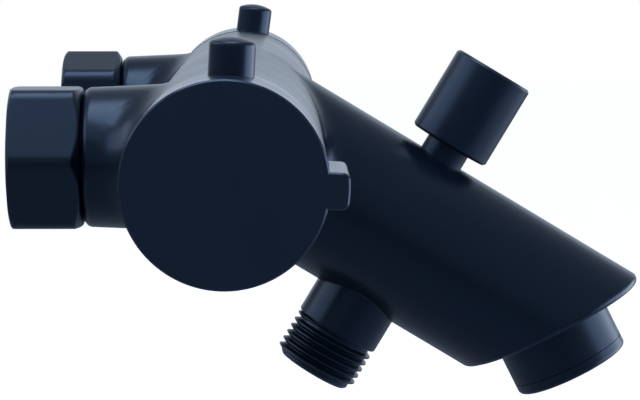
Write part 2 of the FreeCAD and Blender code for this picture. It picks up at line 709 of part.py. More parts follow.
def valve_head(chamber, skirt, low, flange_low):
    """Top of a valve: skirt, grooved flange and the neck that guides its spindle."""
    flange = LAND_DIA / 2
    groove = flange_groove(flange_low)
    top = -NUT_SEAT_DEPTH
    roof = -NUT_SEAT_DEPTH - FLANGE_THICKNESS
    guide = STEM_DIA / 2 + RUNNING
    neck = NECK_DIA / 2
    head = turned([
        (chamber, low), (skirt, low), (skirt, flange_low), (flange, flange_low), (flange, top),
        (neck, top), (neck, NECK_TOP), (guide, NECK_TOP), (guide, roof), (chamber, roof)])
    return head.cut(groove_ring(groove))


def flange_groove(flange_low):
    """Height of the seal in a valve's flange."""
    return (flange_low - NUT_SEAT_DEPTH) / 2


def groove_ring(height):
    """What a seal's groove takes out of a valve's land."""
    section = SEAL_SECTION / 2
    depth = POCKET_DIA / 2 - 2 * section - TIGHT
    return pipe(POCKET_DIA / 2, depth, height - section - TIGHT, height + section + TIGHT)


def disc_openings(low, high, turn):
    """Two opposite openings of a ceramic disc."""
    half = DISC_OPENING / 2
    inner = DISC_OPENING_INNER / 2
    outer = DISC_OPENING_OUTER / 2
    opposite = turn + FULL_TURN / 2
    first = sector(outer, inner, low, high, turn - half, turn + half)
    return first.fuse(sector(outer, inner, low, high, opposite - half, opposite + half))


def flow_valve_pieces():
    """The flow valve, in its own heights from the end of the bar."""
    floor = -FLOW_POCKET_DEPTH
    middle = floor + DISC_THICKNESS
    top = middle + DISC_THICKNESS
    roof = -NUT_SEAT_DEPTH - FLANGE_THICKNESS
    fixed = rod(DISC_DIA / 2, floor, middle).cut(disc_openings(floor, middle, 0))
    moving = rod(DISC_DIA / 2, middle, top).cut(disc_openings(middle, top, 90))
    half_length = TONGUE_LENGTH / 2
    half_width = TONGUE_WIDTH / 2
    tongue_low = top - TONGUE_DEPTH
    slot = Part.makeBox(TONGUE_LENGTH + 2 * TONGUE_PLAY, TONGUE_WIDTH + 2 * TONGUE_PLAY, TONGUE_DEPTH,
                        V(-half_length - TONGUE_PLAY, -half_width - TONGUE_PLAY, tongue_low))
    tongue = Part.makeBox(TONGUE_LENGTH, TONGUE_WIDTH, TONGUE_DEPTH,
                          V(-half_length, -half_width, tongue_low))
    driver = rod(DISC_DIA / 2 - DRIVER_INSET, top, roof - DRIVER_PLAY)
    spindle = rod(STEM_DIA / 2, top, STEM_TOP).fuse(driver).fuse(tongue)
    seal_low = floor - SEAT_SEAL_THICKNESS
    seals = [pipe(SEAT_SEAL_DIA / 2, NOSE_BORE_DIA / 2, seal_low, floor), seal_ring(flange_groove(roof))]
    return {
        "flow_valve_shell": flow_shell(),
        "flow_fixed_disc": fixed,
        "flow_moving_disc": moving.cut(slot),
        "flow_spindle": tapped(spindle),
        "flow_valve_seals": Part.makeCompound(seals),
    }


def port_slots(low, high):
    """Radial slots through the temperature valve's sleeve, between two heights."""
    slots = []
    for i in range(PORTS):
        slot = Part.makeBox(VALVE_BODY_DIA / 2, PORT_WIDTH, high - low,
                            V(VALVE_BORE_DIA / 4, -PORT_WIDTH / 2, low))
        slot.rotate(V(0, 0, 0), V(0, 0, 1), FULL_TURN / PORTS * i)
        slots.append(slot)
    return slots


def above_floor(height):
    """A height above the temperature pocket's floor, measured from the end of the bar instead."""
    return height - TEMPERATURE_POCKET_DEPTH


def temperature_valve_pieces():
    """The temperature valve, in its own heights from the end of the bar."""
    floor = above_floor(0)
    body_low = floor + VALVE_FOOT
    bore_low = body_low + VALVE_FLOOR
    bonnet_low = above_floor(BONNET_LOW)
    body = VALVE_BODY_DIA / 2
    bore = VALVE_BORE_DIA / 2
    land_low, land_high = [above_floor(height) for height in SEAL_LAND]
    land = LAND_DIA / 2
    sleeve = turned([
        (NOSE_WAY_DIA / 2, floor - NOSE_LENGTH), (NOSE_DIA / 2, floor - NOSE_LENGTH),
        (NOSE_DIA / 2, floor), (VALVE_FOOT_DIA / 2, floor), (VALVE_FOOT_DIA / 2, body_low),
        (body, body_low), (body, land_low), (land, land_low), (land, land_high),
        (body, land_high), (body, bonnet_low), (bore, bonnet_low), (bore, bore_low),
        (NOSE_WAY_DIA / 2, bore_low)])
    sleeve_seal = (land_low + land_high) / 2
    sleeve = sleeve.cut(groove_ring(sleeve_seal))
    for span in (HOT_PORT, COLD_PORT):
        port_low, port_high = [above_floor(height) for height in span]
        for slot in port_slots(port_low, port_high):
            sleeve = sleeve.cut(slot)
    bonnet = valve_head(bore, land - BONNET_SKIRT, bonnet_low, bonnet_low + BONNET_SKIRT)
    slide_low, slide_high = [above_floor(height) for height in SLIDE_SPAN]
    web_low, web_high = [above_floor(height) for height in SLIDE_WEB]
    slide_bore = bore - SLIDE_WALL
    slide = pipe(bore - RUNNING, slide_bore - RUNNING, slide_low, slide_high)
    bulb = ELEMENT_BULB_DIA / 2
    slide = slide.fuse(pipe(slide_bore, bulb, web_low, web_high))
    for i in range(WINDOWS):
        a = 2 * math.pi / WINDOWS * i
        ring = (ELEMENT_SHOULDER_DIA / 2 + slide_bore) / 2
        hole = rod(SLIDE_HOLE_DIA / 2, web_low, web_high)
        hole.translate(V(ring * math.cos(a), ring * math.sin(a), 0))
        slide = slide.cut(hole)
    guide = ELEMENT_GUIDE_DIA / 2
    shoulder = ELEMENT_SHOULDER_DIA / 2
    sleeve_low, sleeve_high = [above_floor(height) for height in SLEEVE_SPAN]
    screw_low, screw_high = [above_floor(height) for height in SCREW_STAGE]
    shoulder_top = web_high + ELEMENT_SHOULDER
    element = turned([
        (0, body_low), (guide, body_low), (guide, slide_low), (bulb, slide_low), (bulb, web_high),
        (shoulder, web_high), (shoulder, shoulder_top), (guide, shoulder_top), (guide, sleeve_low),
        (0, sleeve_low)])
    screw = SLEEVE_SCREW_DIA / 2
    adjuster = rod(bore - RUNNING, sleeve_low, sleeve_high)
    adjuster = adjuster.cut(rod(screw + RUNNING, screw_low - ADJUSTER_ROOM, sleeve_high))
    roof = -NUT_SEAT_DEPTH - FLANGE_THICKNESS
    spindle = rod(screw, screw_low, screw_high)
    spindle = spindle.fuse(rod(STEM_COLLAR_DIA / 2, screw_high, roof - DRIVER_PLAY))
    spindle = spindle.fuse(rod(STEM_DIA / 2, screw_high, STEM_TOP))
    spring_mean = (REGULATOR_SPRING_DIA - REGULATOR_WIRE) / 2
    spring = coil(spring_mean, REGULATOR_WIRE / 2, bore_low, slide_low, REGULATOR_COILS)
    seals = [seal_ring(sleeve_seal), seal_ring(flange_groove(bonnet_low + BONNET_SKIRT))]
    return {
        "temperature_valve_sleeve": sleeve,
        "temperature_bonnet": bonnet,
        "regulator_slide": slide,
        "wax_element": element,
        "adjusting_sleeve": adjuster,
        "temperature_spindle": tapped(spindle),
        "regulator_spring": spring,
        "temperature_valve_seals": Part.makeCompound(seals),
    }


def handle_pieces():
    """Both ends of the bar, as node names and shapes."""
    pieces = {}
    ends = (
        ("flow", FLOW, FLOW_LEAN, FLOW_TRAVEL, flow_valve_pieces()),
        ("temperature", TEMPERATURE, TEMPERATURE_LEAN, TEMPERATURE_TRAVEL, temperature_valve_pieces()),
    )
    for name, side, lean, travel, valve in ends:
        leaning = {
            "handle": handle_barrel(side),
            "end_cap": end_cap(),
            "stop_button": stop_button(side),
            "button_spring": button_spring(side),
            "drive_insert": drive_insert(),
            "handle_screw": handle_screw(),
        }
        for part_name, shape in leaning.items():
            pieces[name + "_" + part_name] = at_bar_end(shape, side, lean)
        pieces[name + "_lock_nut"] = at_bar_end(lock_nut(), side, 0)
        pieces[name + "_stop_ring"] = at_bar_end(stop_ring(side, lean, travel), side, 0)
        for part_name, shape in valve.items():
            pieces[part_name] = at_bar_end(shape, side, 0)
    return pieces


def diverter_pieces():
    """Knob, neck, spindle, washer and seals, in heights from the spout's axis."""
    knob_top = KNOB_LOW + KNOB_HEIGHT
    knob = rod(KNOB_DIA / 2, KNOB_LOW, knob_top)
    rims = edges_at(knob, lambda p: from_axis(p) > KNOB_DIA / 2 - NEARLY)
    knob = knob.makeChamfer(KNOB_EDGE, [edge for edge in rims if edge.BoundBox.ZLength < SAME])
    knob = knob.cut(rod(GLAND_DIA / 2 + KNOB_PLAY, KNOB_LOW, KNOB_SHOULDER))
    spindle_top = KNOB_SHOULDER + SPINDLE_END_LENGTH
    thin = SPINDLE_END_DIA / 2
    knob = knob.cut(rod(thin, KNOB_LOW, spindle_top))
    stem = SPINDLE_DIA / 2
    gland = rod(GLAND_DIA / 2, GLAND_ROOT, GLAND_TOP).cut(rod(stem + RUNNING, GLAND_ROOT, GLAND_TOP))
    seal_place = GLAND_TOP - GLAND_SEAL_DEPTH
    section = GLAND_SEAL_SECTION / 2
    groove = rod(stem + 2 * section + RUNNING, seal_place - section, seal_place + section)
    seal = Part.makeTorus(stem + section + RUNNING, section, V(0, 0, seal_place))
    collar = VALVE_COLLAR_DIA / 2
    collar_top = VALVE_TOP + VALVE_COLLAR
    nut_low = VALVE_LOW - VALVE_COLLAR
    nut = collar - NUT_INSET
    spindle = turned([
        (0, nut_low), (nut, nut_low), (nut, VALVE_LOW), (thin, VALVE_LOW),
        (thin, VALVE_TOP), (collar, VALVE_TOP), (collar, collar_top), (stem, collar_top),
        (stem, KNOB_SHOULDER), (thin, KNOB_SHOULDER), (thin, spindle_top), (0, spindle_top)])
    pieces = {
        "diverter_knob": knob,
        "diverter_gland": gland.cut(groove),
        "diverter_seal": seal,
        "diverter_spindle": spindle,
        "diverter_washer": pipe(VALVE_DIA / 2, thin, VALVE_LOW, VALVE_TOP),
    }
    return {name: placed(shape, DIVERTER, LIFT) for name, shape in pieces.items()}


def outlet_pieces():
    """Shower outlet nipple and its seal."""
    thread = OUTLET_THREAD_DIA / 2
    neck = OUTLET_NECK_DIA / 2
    bore = OUTLET_BORE_DIA / 2
    stem = OUTLET_STEM_DIA / 2 - TIGHT
    undercut = OUTLET_UNDERCUT_DIA / 2
    thread_high = OUTLET_THREAD_LENGTH - OUTLET_END
    shoulder = -OUTLET_SEAT - OUTLET_SEAL
    chamfer = OUTLET_CHAMFER
    nipple = turned([
        (bore, -OUTLET_END), (thread - chamfer, -OUTLET_END), (thread, chamfer - OUTLET_END),
        (thread, thread_high), (undercut, thread_high), (undercut, thread_high + OUTLET_UNDERCUT),
        (neck, thread_high + OUTLET_UNDERCUT), (neck, shoulder), (stem, shoulder),
        (stem, -PORT_TOP - LOOSE), (bore, -PORT_TOP - LOOSE)])
    seal = pipe(neck, stem + TIGHT, shoulder, -OUTLET_SEAT)
    pieces = {"shower_outlet": nipple, "shower_outlet_seal": seal}
    return {name: placed(shape, DIVERTER, LIFT) for name, shape in pieces.items()}


def aerator_pieces():
    """Aerator in the spout's mouth, in heights from the spout's axis down the pour."""
    outer = AERATOR_DIA / 2
    bore = AERATOR_BORE_DIA / 2
    insert = INSERT_DIA / 2
    cap_top = AERATOR_END - AERATOR_CAP_HEIGHT
    sleeve_top = cap_top - AERATOR_SLEEVE
    seal_top = sleeve_top - AERATOR_SEAL
    way = AERATOR_WAY_DIA / 2
    housing = turned([
        (way, -AERATOR_ROOT), (outer, -AERATOR_ROOT), (outer, cap_top - AERATOR_SEAM),
        (bore, cap_top - AERATOR_SEAM), (bore, seal_top), (way, seal_top)])
    lip_low = AERATOR_END - INSERT_RECESS
    cap = turned([
        (insert + TIGHT, sleeve_top), (bore - TIGHT, sleeve_top), (bore - TIGHT, cap_top),
        (outer, cap_top), (outer, AERATOR_END), (insert - INSERT_LIP, AERATOR_END),
        (insert - INSERT_LIP, lip_low),
        (insert + TIGHT, lip_low)])
    rim = edges_at(cap, lambda p: abs(p.z - AERATOR_END) < SAME and from_axis(p) > outer - NEARLY)
    cap = cap.makeFillet(AERATOR_EDGE, rim)
    core = rod(insert, sleeve_top, lip_low)
    core = core.cut(rod(INSERT_HOLE_DIA / 2, sleeve_top, lip_low))
    for ring, count in zip(RING_RADII, RING_HOLES):
        for i in range(count):
            a = 2 * math.pi / count * i
            hole = rod(INSERT_HOLE_DIA / 2, sleeve_top, lip_low)
            hole.translate(V(ring * math.cos(a), ring * math.sin(a), 0))
            core = core.cut(hole)
    pieces = {
        "aerator_housing": housing,
        "aerator_cap": cap,
        "aerator_insert": core,
        "aerator_seal": pipe(bore, way, seal_top, sleeve_top),
    }
    return {name: placed(shape, MOUTH, POUR) for name, shape in pieces.items()}


def main():
    """Build every piece and write each to its own file."""
    pieces = {"mixer_body": mixer_body()}
    pieces.update(inlet_pieces())
    pieces.update(handle_pieces())
    pieces.update(diverter_pieces())
    pieces.update(outlet_pieces())
    pieces.update(aerator_pieces())
    os.makedirs("parts", exist_ok=True)
    for name, shape in pieces.items():
        print(name, len(shape.Solids), shape.isValid(), round(shape.Volume, 1))
        shape.exportStep("parts/" + name + ".step")


main()
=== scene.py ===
# %% [markdown]
# # A matt black bath mixer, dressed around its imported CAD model
#
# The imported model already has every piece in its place, in metres. X points away from the wall,
# Y runs along the bar and Z points up. This lesson gives those pieces their real finishes, makes
# the details that are too fine for the CAD solids, and sets up the camera, the lamps and the
# pale floor.

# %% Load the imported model
import json
import math

import bmesh
import bpy
from mathutils import Matrix, Vector


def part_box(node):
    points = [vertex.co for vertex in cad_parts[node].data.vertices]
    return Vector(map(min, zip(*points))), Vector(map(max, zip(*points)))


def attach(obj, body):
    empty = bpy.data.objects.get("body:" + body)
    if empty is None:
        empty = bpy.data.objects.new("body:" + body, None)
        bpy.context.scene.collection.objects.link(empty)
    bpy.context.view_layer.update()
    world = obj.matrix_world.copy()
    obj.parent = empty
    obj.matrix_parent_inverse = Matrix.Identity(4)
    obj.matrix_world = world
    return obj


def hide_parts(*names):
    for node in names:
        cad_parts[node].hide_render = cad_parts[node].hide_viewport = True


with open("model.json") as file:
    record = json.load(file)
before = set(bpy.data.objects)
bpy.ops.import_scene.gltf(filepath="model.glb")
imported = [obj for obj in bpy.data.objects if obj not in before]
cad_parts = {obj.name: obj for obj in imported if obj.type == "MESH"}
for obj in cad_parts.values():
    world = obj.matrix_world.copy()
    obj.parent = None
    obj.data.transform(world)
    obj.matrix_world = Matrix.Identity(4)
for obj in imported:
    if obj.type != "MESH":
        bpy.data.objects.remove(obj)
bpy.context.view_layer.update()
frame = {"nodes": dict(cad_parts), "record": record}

MM = 0.001
print("CAD nodes:", len(frame["nodes"]))

# %% [markdown]
# ## Camera
#
# The photograph looks almost along the bar, from the left-hand handle's end and a little from
# above. It was taken from less than a metre, so the far handle is clearly smaller than the
# near one. The distance sets that ratio and the focal length then sets the size, so both were
# worked out together from the outlines of the two handles, the nuts and the spout.

# %% Camera
CAMERA_PLACE = Vector((59.41, -687.41, 49.38)) * MM
CAMERA_DOWN = math.radians(5.49)
CAMERA_ASIDE = math.radians(0.74)
IMAGE_WIDTH = 640
FOCAL_PIXELS = 2809.7
SENSOR_WIDTH = 36.0
NEAREST, FARTHEST = 0.05, 50.0

camera_data = bpy.data.cameras.new("camera")
camera_data.sensor_fit = "HORIZONTAL"
camera_data.sensor_width = SENSOR_WIDTH
camera_data.lens = FOCAL_PIXELS / IMAGE_WIDTH * SENSOR_WIDTH
camera_data.clip_start = NEAREST
camera_data.clip_end = FARTHEST
camera = bpy.data.objects.new("camera", camera_data)
bpy.context.scene.collection.objects.link(camera)
view_line = Vector((
    math.sin(CAMERA_ASIDE) * math.cos(CAMERA_DOWN),
    math.cos(CAMERA_ASIDE) * math.cos(CAMERA_DOWN),
    -math.sin(CAMERA_DOWN),
))
camera.location = CAMERA_PLACE
camera.rotation_euler = view_line.to_track_quat("-Z", "Y").to_euler()
bpy.context.scene.camera = camera
bpy.context.scene.view_settings.view_transform = "Standard"
print("lens", round(camera_data.lens, 1), "mm")

# %% [markdown]
# ## Two small helpers
#
# Shader and geometry trees are both built by adding nodes, setting them and linking them. One
# function does all three. Colours are written as sRGB hex, as a paint chart or a picture
# program shows them, and turned into the linear values that Blender mixes light with.

# %% Helpers for node trees and colours
def add(tree, kind, inputs=None, **settings):
    """A new node with its settings, and with its inputs set or linked."""
    made = tree.nodes.new(kind)
    for name, value in settings.items():
        setattr(made, name, value)
    for name, value in (inputs or {}).items():
        if isinstance(value, bpy.types.NodeSocket):
            tree.links.new(value, made.inputs[name])
        else:
            made.inputs[name].default_value = value
    return made


def linear(hex_colour, alpha=1.0):
    """Linear red, green, blue and alpha of a colour such as #1a2b3c."""
    channels = [int(hex_colour[i:i + 2], 16) / 255 for i in (1, 3, 5)]
    curve = [c / 12.92 if c <= 0.04045 else ((c + 0.055) / 1.055) ** 2.4 for c in channels]
    return (*curve, alpha)


print("a mid grey of #808080 is", round(linear("#808080")[0], 3), "in linear light")

# %% [markdown]
# ## Surroundings
#
# A matt black piece shows its surroundings more than its own colour. In the photograph the end
# disc and the spout are almost black, so the room in front of them was dark, while the edges
# that turn away from the camera mirror a pale background. A picture of a studio could be
# wrapped around the scene, but a level that depends on the direction is all that is needed.
# The world is white for the camera and through glass. For reflections and light it is white
# straight behind the mixer and dim everywhere else.

# %% World
ROOM_COLOUR = "#dfeeff"
DIM_LEVEL = 0.34
BACK_LEVEL = 1.0
# Y part of a direction, 1 being straight behind the mixer, where the room starts to brighten
# and where it has reached the level of the background.
BACK_STARTS, BACK_FULL = 0.70, 0.97

world = bpy.data.worlds.new("dim_room_with_white_background")
bpy.context.scene.world = world
world.use_nodes = True
tree = world.node_tree
tree.nodes.clear()
heading = add(tree, "ShaderNodeTexCoord")
parts = add(tree, "ShaderNodeSeparateXYZ", {"Vector": heading.outputs["Generated"]})
level = add(tree, "ShaderNodeMapRange", {
    "Value": parts.outputs["Y"], "From Min": BACK_STARTS, "From Max": BACK_FULL,
    "To Min": DIM_LEVEL, "To Max": BACK_LEVEL}, interpolation_type="SMOOTHSTEP")
room = add(tree, "ShaderNodeBackground", {
    "Color": linear(ROOM_COLOUR), "Strength": level.outputs["Result"]})
white = add(tree, "ShaderNodeBackground", {"Color": linear("#ffffff"), "Strength": 1.0})
ray = add(tree, "ShaderNodeLightPath")
through = add(tree, "ShaderNodeMath", {
    0: ray.outputs["Is Camera Ray"], 1: ray.outputs["Is Transmission Ray"]}, operation="MAXIMUM")
mixed = add(tree, "ShaderNodeMixShader", {
    0: through.outputs[0], 1: room.outputs[0], 2: white.outputs[0]})
add(tree, "ShaderNodeOutputWorld", {"Surface": mixed.outputs[0]})
print("room level", DIM_LEVEL, "in front and", BACK_LEVEL, "behind")

# %% [markdown]
# ## Lamps
#
# Soft boxes stand where the photograph shows their reflections. A long one overhead, along the
# bar, lights the arms and the tops of the nuts. A wide one on the right, at the mixer's own
# height, draws the bright band on the knob and on the aerator. A weaker one high on the left
# lights the nuts, and a large dim one above the camera lifts the sides that face it. A box of
# one square metre needs pi watts to look as bright as white paper, so each strength is worked
# out from the wanted brightness and the box's own size.

# %% Lamps
LAMP_COLOUR = "#dcebff"
LAMP_TARGET = Vector((0.06, 0.0, 0.0))


def soft_box(name, place, width, height, brightness):
    """A rectangular lamp turned to the mixer; brightness 1 looks like white paper."""
    data = bpy.data.lights.new(name, "AREA")
    data.shape = "RECTANGLE"
    data.size = width
    data.size_y = height
    data.energy = brightness * math.pi * width * height
    data.color = linear(LAMP_COLOUR)[:3]
    lamp = bpy.data.objects.new(name, data)
    lamp.location = place
    lamp.visible_camera = False
    lamp.rotation_euler = (LAMP_TARGET - Vector(place)).to_track_quat("-Z", "Y").to_euler()
    bpy.context.scene.collection.objects.link(lamp)
    print(name, round(data.energy, 2), "watts")


soft_box("overhead_box", (-0.02, -0.07, 1.00), 0.50, 0.95, 4.5)
soft_box("right_box", (0.80, 0.12, -0.05), 1.05, 0.50, 3.6)
soft_box("left_box", (-0.75, -0.08, 0.55), 1.10, 0.55, 1.7)
soft_box("front_box", (-0.10, -1.20, 1.35), 1.40, 0.90, 0.7)

# %% [markdown]
# ## Floor
#
# The mixer hangs above a sheet of pale paper. The camera sees the sheet almost white, and a
# little glow keeps it so while the mixer's shadow still darkens it. Light and reflections meet
# a mid grey sheet instead, because the undersides in the photograph mirror nothing pale.

# %% Floor
FLOOR_HEIGHT = -0.32
FLOOR_HALF = 6.0
PAPER_GLOW = 0.76

floor_corners = ((-1, -1), (1, -1), (1, 1), (-1, 1))
floor_mesh = bpy.data.meshes.new("floor")
floor_mesh.from_pydata(
    [(x * FLOOR_HALF, y * FLOOR_HALF, FLOOR_HEIGHT) for x, y in floor_corners],
    [], [(0, 1, 2, 3)])
floor = bpy.data.objects.new("floor", floor_mesh)
bpy.context.scene.collection.objects.link(floor)

sheet = bpy.data.materials.new("pale_paper_sweep")
sheet.use_nodes = True
tree = sheet.node_tree
tree.nodes.clear()
paper = add(tree, "ShaderNodeBsdfDiffuse", {"Color": linear("#e8eaee")})
glow = add(tree, "ShaderNodeEmission", {"Color": linear("#ffffff"), "Strength": PAPER_GLOW})
lit = add(tree, "ShaderNodeAddShader", {0: paper.outputs[0], 1: glow.outputs[0]})
shade = add(tree, "ShaderNodeBsdfDiffuse", {"Color": linear("#94989f")})
ray = add(tree, "ShaderNodeLightPath")
seen = add(tree, "ShaderNodeMixShader", {
    0: ray.outputs["Is Camera Ray"], 1: shade.outputs[0], 2: lit.outputs[0]})
add(tree, "ShaderNodeOutputMaterial", {"Surface": seen.outputs[0]})
floor_mesh.materials.append(sheet)
print("floor", -FLOOR_HEIGHT, "m below the inlets")

# %% [markdown]
# ## Finishes
#
# Everything that shows is brass or plastic under one matt black lacquer. Sprayed lacquer is
# never quite even: it dries with a fine texture, like very fine orange peel, and its gloss
# wanders a little over a few centimetres. Both could be painted as pictures, but noise on
# Object coordinates needs no unwrapping and stays on the piece in every view. The pieces inside
# the mixer are plain brass, moulded plastic, rubber, ceramic and steel, and one function makes
# them all, because only their numbers differ.

# %% One function for a sprayed, moulded or machined surface
GLOSS_WAVE = 35.0
NOISE_LOW, NOISE_HIGH = 0.3, 0.7  # nearly all of the noise lies between these


def surface(name, colour, roughness, metallic=0.0, grain=0.4, depth=0.01, wander=0.04,
            shade=0.08, ior=1.5, tint=None, squeeze=None):
    """A material with a fine texture, a roughness that wanders and a slightly uneven colour.

    grain and depth are the size and height of the texture in millimetres."""
    material = bpy.data.materials.new(name)
    material.use_nodes = True
    tree = material.node_tree
    tree.nodes.clear()
    place = add(tree, "ShaderNodeTexCoord").outputs["Object"]
    if squeeze:
        place = add(tree, "ShaderNodeMapping", {"Vector": place, "Scale": squeeze}).outputs[0]
    fine = add(tree, "ShaderNodeTexNoise", {
        "Vector": place, "Scale": 1 / (grain * MM), "Detail": 2.0})
    broad = add(tree, "ShaderNodeTexNoise", {
        "Vector": place, "Scale": 1 / (GLOSS_WAVE * MM), "Detail": 3.0})
    bump = add(tree, "ShaderNodeBump", {
        "Height": fine.outputs["Fac"], "Strength": 1.0, "Distance": depth * MM})
    gloss = add(tree, "ShaderNodeMapRange", {
        "Value": broad.outputs["Fac"], "From Min": NOISE_LOW, "From Max": NOISE_HIGH,
        "To Min": roughness - wander, "To Max": roughness + wander})
    base = Vector(linear(colour)[:3])
    tone = add(tree, "ShaderNodeMix", {
        0: broad.outputs["Fac"], 6: (*(base * (1 - shade)), 1), 7: (*(base * (1 + shade)), 1)},
        data_type="RGBA")
    values = {
        "Base Color": tone.outputs[2], "Roughness": gloss.outputs["Result"],
        "Normal": bump.outputs["Normal"], "Metallic": metallic}
    if not metallic:
        values["IOR"] = ior
    if tint:
        values["Specular Tint"] = linear(tint)
    shader = add(tree, "ShaderNodeBsdfPrincipled", values)
    add(tree, "ShaderNodeOutputMaterial", {"Surface": shader.outputs[0]})
    return material


print("a grain of 0.4 mm is a noise scale of", round(1 / (0.4 * MM)), "per metre")

# %% The finishes of what shows, by the record's slot names
COOL = "#b4d3fb"  # the lacquer's sheen is a little blue, as the photograph shows it
finishes = {
    # Sprayed matt lacquer on cast brass: wide, soft highlights that break up very slightly,
    # because the casting under it was only ground.
    "casting_paint": surface(
        "matt_lacquer_on_casting", "#0a1420", 0.28, tint=COOL, grain=0.5, depth=0.006),
    # The same lacquer on the large turned pieces. They are smoother under it, so the end discs look
    # even. Their colour is one shade paler as
    # painted light: it stands in for the extra front light that the end discs catch and the spout
    # does not.
    "handle_paint": surface(
        "matt_lacquer_on_turned_brass_painted_paler", "#1d2838", 0.23, tint=COOL, grain=0.4, depth=0.005),
    # Small turnings curve more tightly, so their highlights are narrow bands with soft edges.
    "knob_paint": surface(
        "matt_lacquer_on_small_turnings", "#0d1624", 0.30, tint=COOL, grain=0.4, depth=0.005),
    # On the hexagons the flats read as plain tones, each mirroring another part of the room.
    "nut_paint": surface(
        "matt_lacquer_on_hexagon_brass", "#0b1522", 0.29, tint=COOL, grain=0.4, depth=0.005),
    # Moulded ABS, coloured through: as matt as the lacquer, with the finer skin of its mould.
    "button_plastic": surface(
        "black_moulded_abs", "#0e1826", 0.30, tint=COOL, grain=0.3, depth=0.004),
}
print("finishes of what shows:", len(finishes))

# %% The finishes of the inner pieces
finishes.update({
    # Brass from the lathe: a warm, fairly bright metal. Its fine tool marks are drawn as noise
    # squeezed six times along Z, which reads as short rings.
    "raw_brass": surface(
        "turned_brass", "#c9a15a", 0.28, metallic=1.0, grain=0.25, depth=0.004,
        squeeze=(1, 1, 6)),
    # Drawn copper, for the wax element's case: a redder metal with an even, soft shine.
    "element_copper": surface(
        "drawn_copper", "#b8703f", 0.30, metallic=1.0, grain=0.3, depth=0.003),
    # Wire drawn through a die: smooth, so each turn of a spring carries a small bright line.
    "spring_steel": surface(
        "drawn_stainless_wire", "#9a9da1", 0.25, metallic=1.0, grain=0.2, depth=0.002),
    # Machined stainless screws: the same grey, a little duller from the cutting tool.
    "screw_steel": surface(
        "machined_stainless", "#a5a7aa", 0.30, metallic=1.0, grain=0.2, depth=0.003),
    # PPS with glass fibre, for parts in hot water: dark grey, with a dull and dry-looking skin.
    "valve_plastic": surface("grey_moulded_pps", "#3c4043", 0.45, grain=0.3, depth=0.006),
    # Acetal left in its own colour: pale and waxy, with a soft highlight.
    "white_plastic": surface("white_moulded_acetal", "#e2e1dc", 0.38, grain=0.4, depth=0.004),
    # Grey acetal for the aerator: light enough for its thin walls to show inside the mouth.
    "insert_plastic": surface(
        "light_grey_moulded_acetal", "#a7abaf", 0.42, grain=0.3, depth=0.004),
    # Alumina lapped flat: off-white and nearly mirror-smooth. Its IOR of 1.76 is higher than a
    # plastic's, so it shines more strongly.
    "valve_ceramic": surface(
        "lapped_alumina", "#e9e4da", 0.18, grain=0.2, depth=0.001, ior=1.76),
    # Moulded nitrile rubber: almost black and dull, with hardly any highlight.
    "seal_rubber": surface("moulded_nitrile_rubber", "#17181a", 0.55, grain=0.3, depth=0.008),
})
slot_of = {row["node"]: row["material_slot"] for row in frame["record"]["subparts"]}
for name, piece in frame["nodes"].items():
    piece.data.materials.clear()
    piece.data.materials.append(finishes[slot_of[name]])
print("dressed", len(frame["nodes"]), "nodes with", len(finishes), "finishes")

# %% [markdown]
# ## Helpers for turned and grown pieces
#
# Some details are finer than the CAD solids carry: a screw thread, a woven strainer and the
# honeycomb of the aerator. A lathe could be done with a Screw modifier on a profile curve;
# a list of radii and heights in mesh code is as short and keeps every ring closed. What
# repeats or follows a helix comes from Geometry Nodes. Each piece is made upright along Z and
# then carried to its own axis of the mixer inside its mesh, so its object stays at the origin.

# %% Axes of the outlet, the mouth and the inlets
SPOUT_SLOPE = math.radians(31)
POUR_ANGLE = math.radians(26.6)
DIVERTER = Vector((87.487, 0.0, -23.846)) * MM
LIFT = Vector((math.sin(SPOUT_SLOPE), 0.0, math.cos(SPOUT_SLOPE)))
MOUTH = Vector((124.431, 0.0, -46.044)) * MM
POUR = Vector((math.sin(POUR_ANGLE), 0.0, -math.cos(POUR_ANGLE)))
INLETS = {"hot": -75.0, "cold": 75.0}
OFF_THE_WALL = Vector((1, 0, 0))


def along(origin, direction):
    """The matrix that carries a piece made along Z from the origin onto another axis."""
    turn = Vector((0, 0, 1)).rotation_difference(direction).to_matrix().to_4x4()
    return Matrix.Translation(origin) @ turn


inlet_axis = {
    side: along(Vector((0, place, 0)) * MM, OFF_THE_WALL) for side, place in INLETS.items()}
print("the outlet leans", round(math.degrees(SPOUT_SLOPE)), "degrees, the mouth",
      round(math.degrees(POUR_ANGLE), 1))


# %% A lathe
def closed_ring(outlines):
    """A ring through closed outlines of (radius, height) in mm, spread evenly around Z."""
    made = bmesh.new()
    rings = []
    for i, outline in enumerate(outlines):
        turn = 2 * math.pi * i / len(outlines)
        rings.append([
            made.verts.new((r * MM * math.cos(turn), r * MM * math.sin(turn), z * MM))
            for r, z in outline])
    for i, here in enumerate(rings):
        there = rings[(i + 1) % len(rings)]
        for j in range(len(here)):
            k = (j + 1) % len(here)
            made.faces.new((here[j], there[j], there[k], here[k]))
    return made


def lathe(outline, steps):
    """The same outline all the way round."""
    return closed_ring([outline] * steps)


trial = lathe([(1, 0), (2, 0), (2, 1)], 8)
print("3 points turned in 8 steps give", len(trial.verts), "vertices and",
      len(trial.faces), "faces")
trial.free()


# %% Geometry trees and the meshes they make
def new_tree(name, sizes):
    """An empty geometry tree with one named number input for each size."""
    made = bpy.data.node_groups.new(name, "GeometryNodeTree")
    for label in sizes:
        made.interface.new_socket(label, in_out="INPUT", socket_type="NodeSocketFloat")
    made.interface.new_socket("Geometry", in_out="OUTPUT", socket_type="NodeSocketGeometry")
    return made


